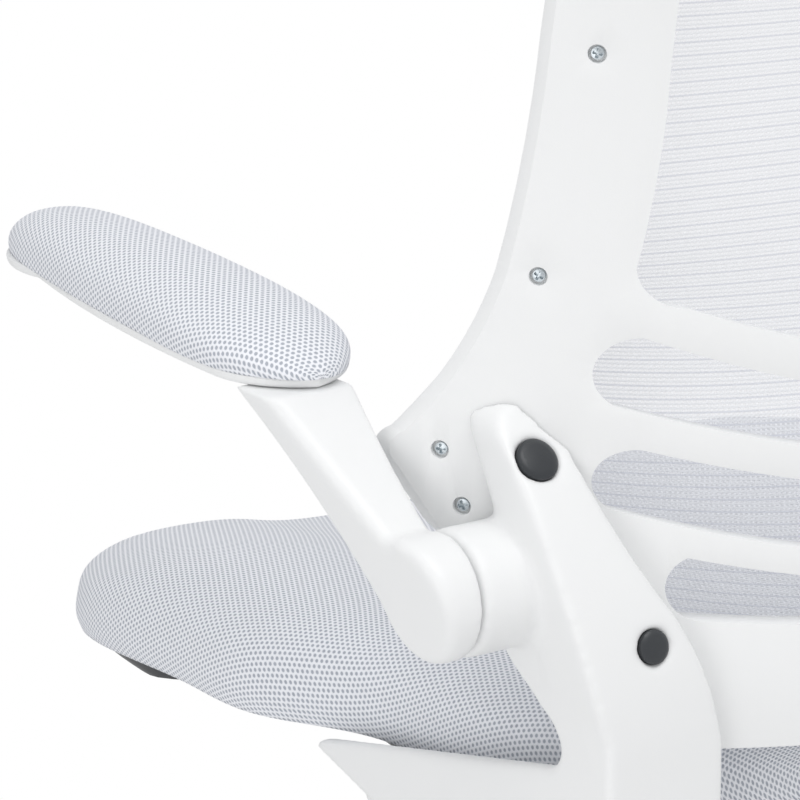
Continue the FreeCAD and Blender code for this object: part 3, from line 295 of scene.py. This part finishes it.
THREAD_PITCH, WARP_PITCH, FINE_LINES = 0.0061, 0.0024, 3.0
ZIG_HEIGHT, WARP_LEAN, WARP_WEIGHT = 0.06, 0.5, 0.6
HEAVY_EDGE, FINE_EDGE, WARP_EDGE = (0.39, 0.47), (0.10, 0.40), (0.12, 0.42)
OPEN_COVER, FULL_COVER, SHINE_THROUGH = 0.46, 0.82, 0.45
KNIT_PALE, KNIT_HEAVY = rgb(0.955, 0.965, 0.995), rgb(0.80, 0.815, 0.88)
KNIT_DEPTH, KNIT_STRENGTH = 0.0004, 0.5
KNIT = {"Roughness": 0.8, "Specular IOR Level": 0.2}


def knit_mesh(name):
    """Knitted back mesh: a heavier weft line every six millimetres, with finer ones at a third of that pitch
    and zigzag warps. It is partly see-through and lets light through from behind."""
    look = Look(name)
    split = look.node("ShaderNodeSeparateXYZ", {0: look.cloth()})
    warps = look.math("DIVIDE", split.outputs[0], WARP_PITCH)
    zig = look.math("MULTIPLY", look.math("PINGPONG", warps, 0.5), ZIG_HEIGHT)
    rise = look.math("ADD", look.math("DIVIDE", split.outputs[1], THREAD_PITCH), zig)
    heavy = look.spread(look.off_middle(rise), *HEAVY_EDGE)
    weft = look.spread(look.off_middle(look.math("MULTIPLY", rise, FINE_LINES)), *FINE_EDGE)
    leaning = look.math("ADD", warps, look.math("MULTIPLY", rise, WARP_LEAN))
    warp = look.math("MULTIPLY", look.spread(look.off_middle(leaning), *WARP_EDGE), WARP_WEIGHT)
    solid = look.math("MAXIMUM", look.math("MAXIMUM", weft, warp), heavy)
    cover = look.spread(solid, 0.0, 1.0, OPEN_COVER, FULL_COVER)
    colour = look.mix(heavy, KNIT_PALE, KNIT_HEAVY)
    lit = look.surface({
        "Base Color": colour, "Normal": look.bump(solid, KNIT_DEPTH, KNIT_STRENGTH), **KNIT})
    through = look.node("ShaderNodeBsdfTranslucent", {"Color": colour}).outputs[0]
    clear = look.node("ShaderNodeBsdfTransparent").outputs[0]
    return look.finish(look.blend(cover, clear, look.blend(SHINE_THROUGH, lit, through)))


# Moulded looks: dark and light colour, roughness, grains per metre and the grain's depth in metres
MOULDED = {
    "white_plastic": (rgb(0.845, 0.85, 0.85), rgb(0.87, 0.875, 0.875), 0.42, 1400.0, 0.00006),
    "black_plastic": (rgb(0.012, 0.014, 0.017), rgb(0.022, 0.024, 0.028), 0.45, 1100.0, 0.0001),
    "cap_plastic": (rgb(0.030, 0.033, 0.037), rgb(0.045, 0.049, 0.054), 0.36, 1100.0, 0.0001),
    "wheel_tread": (rgb(0.03, 0.03, 0.033), rgb(0.05, 0.05, 0.054), 0.6, 900.0, 0.0001),
    "black_metal": (rgb(0.015, 0.015, 0.017), rgb(0.03, 0.03, 0.034), 0.38, 700.0, 0.0001),
}
# Metal looks: dark and light colour, roughness and the stretch of the drawn lines
METALS = {
    "zinc_steel": (rgb(0.50, 0.55, 0.58), rgb(0.74, 0.79, 0.82), 0.32, (1.0, 1.0, 12.0)),
    "spring_steel": (rgb(0.20, 0.20, 0.21), rgb(0.36, 0.36, 0.38), 0.35, (1.0, 1.0, 20.0)),
    "lift_chrome": (rgb(0.55, 0.56, 0.58), rgb(0.75, 0.76, 0.78), 0.14, (1.0, 1.0, 30.0)),
}
LOOKS = {
    **{name: moulded(name, *values) for name, values in MOULDED.items()},
    **{name: metal(name, *values) for name, values in METALS.items()},
    "plywood": plywood("plywood"),
    "seat_fabric": spacer_fabric("seat_fabric"),
    "back_mesh": knit_mesh("back_mesh"),
}


# CAD nodes: each takes the look of its slot in the record, apart from the two in OWN_LOOK

OWN_LOOK = {"bracket_caps": "cap_plastic", "mesh_ring": "white_plastic"}
WELD_REACH, SHARP_ANGLE, EDGE_SEGMENTS = 0.00002, math.radians(30.0), 3
SMALL_RADIUS = 0.0004
EDGE_RADII = {"back_frame": 0.0028, "pad_tray_left": 0.002, "pad_tray_right": 0.002, "base_star": 0.003}
SKIN_CELL, RELAX_SHARE = 0.0017, 0.5
ROUNDED = {"arm_bracket_left": 26, "arm_bracket_right": 26, "arm_lever_left": 14, "arm_lever_right": 14}


def soften(obj, width):
    """Moulded edges: the sharp edges get a small radius."""
    weld = obj.modifiers.new("weld", "WELD")
    weld.merge_threshold = WELD_REACH
    bevel = obj.modifiers.new("edges", "BEVEL")
    bevel.width = width
    bevel.segments = EDGE_SEGMENTS
    bevel.limit_method = "ANGLE"
    bevel.angle_limit = SHARP_ANGLE
    bevel.harden_normals = True


def round_over(obj, passes):
    """Large moulded radii: an even skin of small cells over the solid, relaxed until its edges are round."""
    skin = obj.modifiers.new("skin", "REMESH")
    skin.mode = "VOXEL"
    skin.voxel_size = SKIN_CELL
    skin.use_smooth_shade = True
    relax = obj.modifiers.new("relax", "SMOOTH")
    relax.factor = RELAX_SHARE
    relax.iterations = passes


def dress_nodes():
    """Looks and moulded edges of the CAD nodes. The edges are modifiers, so the meshes stay as they are."""
    for entry in frame["record"]["subparts"]:
        name = entry["node"]
        obj = frame["nodes"][name]
        obj.data.materials.clear()
        obj.data.materials.append(LOOKS[OWN_LOOK.get(name, entry["material_slot"])])
        obj.data.polygons.foreach_set("use_smooth", np.ones(len(obj.data.polygons), bool))
        if name in ROUNDED:
            round_over(obj, ROUNDED[name])
        else:
            soften(obj, EDGE_RADII.get(name, SMALL_RADIUS))


# Camera and studio

VIEW_AZIMUTH, VIEW_RISE, VIEW_DISTANCE = math.radians(145.0), math.radians(16.0), 2.0
VIEW_TARGET = Vector((0.2792, 0.1491, 0.6086))
VIEW_TOWARDS = Vector((math.sin(VIEW_AZIMUTH) * math.cos(VIEW_RISE),
                       -math.cos(VIEW_AZIMUTH) * math.cos(VIEW_RISE), math.sin(VIEW_RISE)))
VIEW_FOCAL, SENSOR_WIDTH = 4600.0 / 800.0, 36.0
PICTURE_LEFT, UP = Vector((0.82, -0.573, 0.0)), Vector((0.0, 0.0, 1.0))
# Lamps: metres to the left of the target, above it and towards the camera, then size in metres and watts
LAMPS = {"key": (1.1, 1.3, 1.3, 1.8, 2.0), "fill": (0.7, -0.42, 1.1, 1.0, 2.8),
         "top": (-0.6, 1.8, 0.8, 1.6, 20.0)}
WHITE, WORLD_COLOUR, WORLD_LIGHT = rgb(1.0, 1.0, 1.0), rgb(0.985, 0.99, 1.0), 0.72
FLOOR_DARK, FLOOR_LIGHT, FLOOR_CLOUDS = rgb(0.86, 0.86, 0.86), rgb(0.89, 0.89, 0.89), 0.7
FLOOR_REACH, FLOOR_LINES = 7.0, 9


def aim(name, data, spot, direction):
    """Put a camera or a lamp in the scene at a spot, facing a direction."""
    obj = bpy.data.objects.new(name, data)
    obj.location = spot
    obj.rotation_euler = direction.to_track_quat("-Z", "Y").to_euler()
    bpy.context.scene.collection.objects.link(obj)
    return obj


def place_camera():
    """Camera of the photograph."""
    data = bpy.data.cameras.new("photo_camera")
    data.sensor_width = SENSOR_WIDTH
    data.lens = VIEW_FOCAL * data.sensor_width
    spot = VIEW_TARGET + VIEW_TOWARDS * VIEW_DISTANCE
    bpy.context.scene.camera = aim("photo_camera", data, spot, -VIEW_TOWARDS)


def hang_lamps():
    """Soft round lamps, all turned to the target."""
    for name, (left, above, ahead, size, power) in LAMPS.items():
        lamp = bpy.data.lights.new(name, "AREA")
        lamp.shape = "DISK"
        lamp.size = size
        lamp.energy = power
        spot = VIEW_TARGET + PICTURE_LEFT * left + UP * above + VIEW_TOWARDS * ahead
        aim(name, lamp, spot, VIEW_TARGET - spot)


def light_world():
    """Even light from all round, and plain white where the camera looks past the part."""
    world = bpy.data.worlds.new("studio")
    bpy.context.scene.world = world
    world.use_nodes = True
    tree = world.node_tree
    tree.nodes.clear()
    path = tree.nodes.new("ShaderNodeLightPath")
    mixed = tree.nodes.new("ShaderNodeMixShader")
    out = tree.nodes.new("ShaderNodeOutputWorld")
    tree.links.new(path.outputs["Is Camera Ray"], mixed.inputs[0])
    for socket, colour, strength in ((1, WORLD_COLOUR, WORLD_LIGHT), (2, WHITE, 1.0)):
        light = tree.nodes.new("ShaderNodeBackground")
        light.inputs[0].default_value = colour
        light.inputs[1].default_value = strength
        tree.links.new(light.outputs[0], mixed.inputs[socket])
    tree.links.new(mixed.outputs[0], out.inputs[0])


def lay_floor():
    """Pale floor that gives light back from below; the camera sees it as plain white."""
    look = Look("floor")
    seen = look.node("ShaderNodeLightPath").outputs["Is Camera Ray"]
    colour = look.mix(look.noise(FLOOR_CLOUDS), FLOOR_DARK, FLOOR_LIGHT)
    pale = look.node("ShaderNodeBsdfDiffuse", {"Color": colour}).outputs[0]
    white = look.node("ShaderNodeEmission", {"Color": WHITE, "Strength": 1.0}).outputs[0]
    edge = np.linspace(-FLOOR_REACH, FLOOR_REACH, FLOOR_LINES)
    x, y = np.meshgrid(edge, edge, indexing="ij")
    ground = grid_mesh("floor", np.stack([x, y, np.zeros_like(x)], axis=2), x, y)
    ground.materials.append(look.finish(look.blend(seen, pale, white)))
    obj = bpy.data.objects.new("floor", ground)
    bpy.context.scene.collection.objects.link(obj)


def studio():
    """Camera, lamps, surrounding light and floor."""
    place_camera()
    hang_lamps()
    light_world()
    lay_floor()


# Seat cover and pan, in millimetres

# Stations front to rear: y, half width, share of the rise, depth of the dish
CUSHION = [(-264.5, 60, 0.24, 1), (-263, 118, 0.44, 3), (-252, 182, 0.67, 9), (-228, 219, 0.87, 16),
           (-185, 241, 0.96, 18), (-140, 248, 1.0, 17), (-80, 249, 1.0, 15), (-25, 246, 1.0, 13),
           (5, 231, 1.0, 12), (30, 219, 1.0, 12), (85, 213, 1.0, 11), (140, 207, 1.0, 10),
           (185, 184, 0.93, 8), (208, 150, 0.75, 5), (217, 105, 0.48, 2), (218.5, 55, 0.25, 1)]
# Half section from the middle outwards: share of the half width, of the dish (negative) and of the rise
CUSHION_SECTION = [(0, -1, 1), (0.22, -0.93, 1), (0.45, -0.6, 1), (0.68, -0.12, 1), (0.86, 0, 0.93),
                   (0.96, 0, 0.74), (0.992, 0, 0.46), (0.998, 0, 0.17), (0.985, 0, 0.0)]
CUSHION_RISE, CUSHION_BASE = 49.0, 404.4
CUSHION_ROWS, CUSHION_COLUMNS = 110, 44
WATERFALL_RADIUS, WATERFALL_START = 1030.0, -60.0


def cushion_stations():
    """Along the seat, front to rear: y, half width, rise, dish, and the height of the cover's lower edge.
    The edge falls away towards the front on a large radius."""
    y, half, rise, dish = spline(np.array(CUSHION, float) * (1, 1, CUSHION_RISE, 1), CUSHION_ROWS).T
    past = np.minimum(y - WATERFALL_START, 0.0)
    low = CUSHION_BASE - (WATERFALL_RADIUS - np.sqrt(WATERFALL_RADIUS ** 2 - past ** 2))
    return y, half, rise, dish, low


def build_cushion():
    """Seat cover: at each station front to rear, a section that is dished on top, rounded over the edge and
    tucked in at the pan. Station values run along a spline, so the plan is smooth."""
    y, half, rise, dish, low = cushion_stations()
    across, sink, high = spline(CUSHION_SECTION, CUSHION_COLUMNS).T
    x = half[:, None] * across
    z = low[:, None] + rise[:, None] * np.maximum(high, 0) + dish[:, None] * np.minimum(sink, 0)
    right = np.stack([x, np.broadcast_to(y[:, None], x.shape), z], axis=2)
    edge = right[:, -1:, :]
    side = np.concatenate([right, edge * (0.5, 1, 1), edge * (0.0, 1, 1)], axis=1)
    grid = both_sides(side) * MM
    u, v = lay(grid)
    mesh = grid_mesh("seat_cover", grid, u, v, ends=True)
    obj = add_piece(mesh, "seat", LOOKS["seat_fabric"], ["seat_cushion"])


# Levels of the pan from its rim down: inset from the cover's plan and depth below the cover's lower edge
PAN_LEVELS = [(16, -0.4), (20, 2.0), (27, 5.0), (36, 8.5), (46, 12.0), (52, 14.0)]
LIP_START, LIP_FULL, LIP_DROP, LIP_OUT = -118.0, -165.0, 1.5, 29.0
REAR_START, REAR_FULL, REAR_INSET = -20.0, 60.0, 19.0


def build_pan():
    """Seat pan: a shallow shell under the cover. Each level is the cover's plan drawn in by an inset and
    lowered by a depth. Towards the front a lip hangs lower and stands further out, and the rear half is drawn
    in less."""
    y, half, _, _, low = cushion_stations()
    lip = soft_step(y, LIP_START, LIP_FULL)
    rear = soft_step(y, REAR_START, REAR_FULL)
    middle, reach = (y.max() + y.min()) / 2, (y.max() - y.min()) / 2
    full_inset, full_depth = PAN_LEVELS[-1]
    rings = []
    for inset, depth in PAN_LEVELS:
        drawn = inset - LIP_OUT * lip * (inset / full_inset)
        drawn = drawn + rear * (np.minimum(drawn, REAR_INSET) - drawn)
        x = half * (1 - drawn / half.max())
        along = middle + (y - middle) * (1 - drawn / reach)
        z = low - depth - LIP_DROP * lip * max(depth, 0.0) / full_depth
        side = np.stack([x, along, z], axis=1)
        rings.append(np.concatenate([side, side[::-1] * (-1, 1, 1), side[:1]]))
    grid = np.stack(rings)[:, ::-1] * MM
    u, v = arc_length(grid, 1, 0), arc_length(grid, 0, 0)
    mesh = grid_mesh("pan_shell", grid, u, v, ends=True)
    add_piece(mesh, "seat", LOOKS["black_plastic"], ["seat_pan"])


# Arm pads, in millimetres

# Stations front to rear: y, half width, share of the rise
PAD = [(-149, 2, 0.06), (-148, 5, 0.16), (-142, 11, 0.36), (-126, 19, 0.66), (-92, 25.5, 0.92),
       (-30, 31, 1.0), (40, 34.5, 0.95), (95, 35, 0.78), (122, 29.5, 0.60), (140, 17.5, 0.36),
       (148.5, 6, 0.14), (149.3, 2, 0.06)]
# Half section from the middle outwards: share of the half width and of the rise
PAD_SECTION = [(0, 1), (0.35, 0.965), (0.66, 0.83), (0.88, 0.62), (0.99, 0.36), (1.0, 0.12), (0.985, 0.0)]
PAD_RISE, PAD_SPOT, PAD_TURN = 29.0, (281.0, -40.0, 611.0), math.radians(-4.5)
PAD_ROWS, PAD_COLUMNS = 70, 26


def build_pads():
    """Arm pads: upright wall at the tray, then a rounded crown, lofted along a smooth boat-shaped plan."""
    y, half, rise = spline(np.array(PAD, float) * (1, 1, PAD_RISE), PAD_ROWS).T
    across, high = spline(PAD_SECTION, PAD_COLUMNS).T
    x = half[:, None] * across
    z = np.maximum(rise[:, None] * high, 0.0)
    right = np.stack([x, np.broadcast_to(y[:, None], x.shape), z], axis=2)
    side = np.concatenate([right, right[:, -1:, :] * (0.0, 1, 1)], axis=1)
    cos, sin = math.cos(PAD_TURN), math.sin(PAD_TURN)
    turn = np.array([[cos, -sin, 0], [sin, cos, 0], [0, 0, 1]])
    placed = (both_sides(side) @ turn.T + np.array(PAD_SPOT)) * MM
    for name, body, sign in (("left", "arm_left", 1), ("right", "arm_right", -1)):
        grid = placed if sign > 0 else placed[:, ::-1] * (-1, 1, 1)
        u, v = lay(grid)
        mesh = grid_mesh("pad_cover_" + name, grid, u, v, ends=True)
        obj = add_piece(mesh, body, LOOKS["seat_fabric"], ["arm_pad_" + name])


# Back mesh and its screws, in millimetres

BACK_AXIS_Y, BACK_RADIUS, RING_RADIUS, LEAN_RADIUS, LUMBAR_Z = -31.3, 310.0, 289.0, 1500.0, 600.0
# Levels of the mesh: z, half width, depth of the bow
MESH = [(467, 150, 36), (500, 193, 52), (556, 224, 68), (584, 236, 74), (664, 209, 34), (770, 202, 34),
        (860, 195, 42), (920, 189, 48), (963, 150, 33)]
MESH_INSET = 3.1
MESH_ROWS, MESH_COLUMNS = 150, 121


def lean_at(z):
    """How far the back leans to the rear at a height: on a large radius that starts at the lumbar line."""
    rise = np.maximum(z - LUMBAR_Z, 0.0)
    return LEAN_RADIUS - np.sqrt(LEAN_RADIUS ** 2 - rise ** 2)


def build_back_mesh():
    """Back mesh: at each level an arc stretched from edge to edge of the ring, flatter than the frame."""
    z, half, sag = spline(MESH, MESH_ROWS).T
    edge = BACK_AXIS_Y + lean_at(z) + np.sqrt(RING_RADIUS ** 2 - half ** 2) - MESH_INSET
    bow = (half ** 2 + sag ** 2) / (2 * sag)
    x = half[:, None] * np.linspace(-1, 1, MESH_COLUMNS)
    y = edge[:, None] + sag[:, None] - bow[:, None] + np.sqrt(bow[:, None] ** 2 - x ** 2)
    grid = np.stack([x, y, np.broadcast_to(z[:, None], x.shape)], axis=2) * MM
    u, v = lay(grid)
    mesh = grid_mesh("back_mesh_cover", grid[:, ::-1], u[:, ::-1], v[:, ::-1])
    obj = add_piece(mesh, "seat", LOOKS["back_mesh"], ["back_mesh"])
    area = np.zeros(len(mesh.polygons))
    mesh.polygons.foreach_get("area", area)


# Screws on the left half of the frame: x and z. Each has a twin on the right.
SCREWS = [(214, 763), (228, 663), (255, 581), (249, 556), (110, 967)]
HEAD_RADIUS, HEAD_DEPTH, HEAD_SUNK, HEAD_DOME = 2.8, 3.0, 1.7, 0.45
HEAD_ROWS, HEAD_COLUMNS, HEAD_MIDDLE = 30, 73, 0.02
GROOVE_HALF, GROOVE_SLOPE, GROOVE_DEPTH = 0.62, 0.12, 1.7
GROOVE_REACH, GROOVE_RUNOUT = 2.2, 0.25
SCREW_TWIST = 0.5


def build_screws():
    """Pan-head screws with a cross recess: rings from the middle to the rim, domed, with two crossing grooves
    sunk into the middle and a straight wall round the rim. Each one is turned by its own angle."""
    reach = np.concatenate([np.linspace(HEAD_MIDDLE, 1.0, HEAD_ROWS), [1.0]])[:, None]
    turn = np.linspace(0, 2 * math.pi, HEAD_COLUMNS)
    a = HEAD_RADIUS * reach * np.cos(turn)
    b = HEAD_RADIUS * reach * np.sin(turn)
    arm = np.minimum(np.abs(a), np.abs(b))
    groove = np.clip((GROOVE_HALF - arm) / GROOVE_SLOPE, 0, 1)
    groove = groove * np.clip((GROOVE_REACH - np.hypot(a, b)) / GROOVE_RUNOUT, 0, 1)
    c = HEAD_DOME * (1 - reach ** 2) - GROOVE_DEPTH * groove - HEAD_SUNK
    c[-1] = -HEAD_SUNK - HEAD_DEPTH
    heads = []
    for x, z in SCREWS:
        for side in (x, -x):
            depth = math.sqrt(BACK_RADIUS ** 2 - side ** 2)
            out = np.array([side, depth, 0.0]) / BACK_RADIUS
            level = np.array([-out[1], out[0], 0.0])
            twist = SCREW_TWIST * side + z
            first = math.cos(twist) * level + math.sin(twist) * np.array([0, 0, 1.0])
            second = np.cross(out, first)
            spot = np.array([side, BACK_AXIS_Y + lean_at(z) + depth, z])
            grid = spot + a[..., None] * first + b[..., None] * second + c[..., None] * out
            heads.append(grid * MM)
    whole = np.stack(heads)
    count, rows, columns = whole.shape[:3]
    i, j, k = np.meshgrid(np.arange(count), np.arange(rows - 1), np.arange(columns - 1), indexing="ij")
    corner = (i * rows + j) * columns + k
    quads = np.stack([corner, corner + columns, corner + columns + 1, corner + 1], axis=-1).reshape(-1, 4)
    mesh = bpy.data.meshes.new("screw_heads")
    mesh.from_pydata(whole.reshape(-1, 3).tolist(), [], quads.tolist())
    mesh.update()
    add_piece(mesh, "seat", LOOKS["zinc_steel"], ["back_screws"])


# Tension spring, in millimetres

SPRING_RADIUS, SPRING_WIRE, SPRING_TURNS = 15.0, 2.0, 6
SPRING_LOW, SPRING_TOP, SPRING_Y = 326.5, 369.5, -85.0
TURN_STEPS, WIRE_COLUMNS = 36, 17


def build_spring():
    """Tension spring: a round wire swept along a rising helix."""
    share = np.linspace(0, 1, TURN_STEPS * SPRING_TURNS + 1)
    turn = 2 * math.pi * SPRING_TURNS * share
    climb = SPRING_TOP - SPRING_LOW - 2 * SPRING_WIRE
    outward = np.stack([np.cos(turn), np.sin(turn), np.zeros_like(turn)], axis=1)
    middle = SPRING_RADIUS * outward + np.stack(
        [np.zeros_like(turn), np.full_like(turn, SPRING_Y), SPRING_LOW + SPRING_WIRE + climb * share], axis=1)
    along = np.stack([-np.sin(turn) * SPRING_RADIUS, np.cos(turn) * SPRING_RADIUS,
                      np.full_like(turn, climb / (2 * math.pi * SPRING_TURNS))], axis=1)
    along /= np.linalg.norm(along, axis=1)[:, None]
    upward = np.cross(along, outward)
    around = np.linspace(0, 2 * math.pi, WIRE_COLUMNS)[None, :, None]
    ring = np.cos(around) * outward[:, None] + np.sin(around) * upward[:, None]
    grid = (middle[:, None] + SPRING_WIRE * ring) * MM
    mesh = grid_mesh("spring_coil", grid, arc_length(grid, 1, 0), arc_length(grid, 0, 0), ends=True)
    obj = add_piece(mesh, "mechanism", LOOKS["spring_steel"], ["tension_spring"])
    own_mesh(obj)


studio()
dress_nodes()
build_screws()
build_spring()
build_cushion()
build_pan()
build_pads()
build_back_mesh()
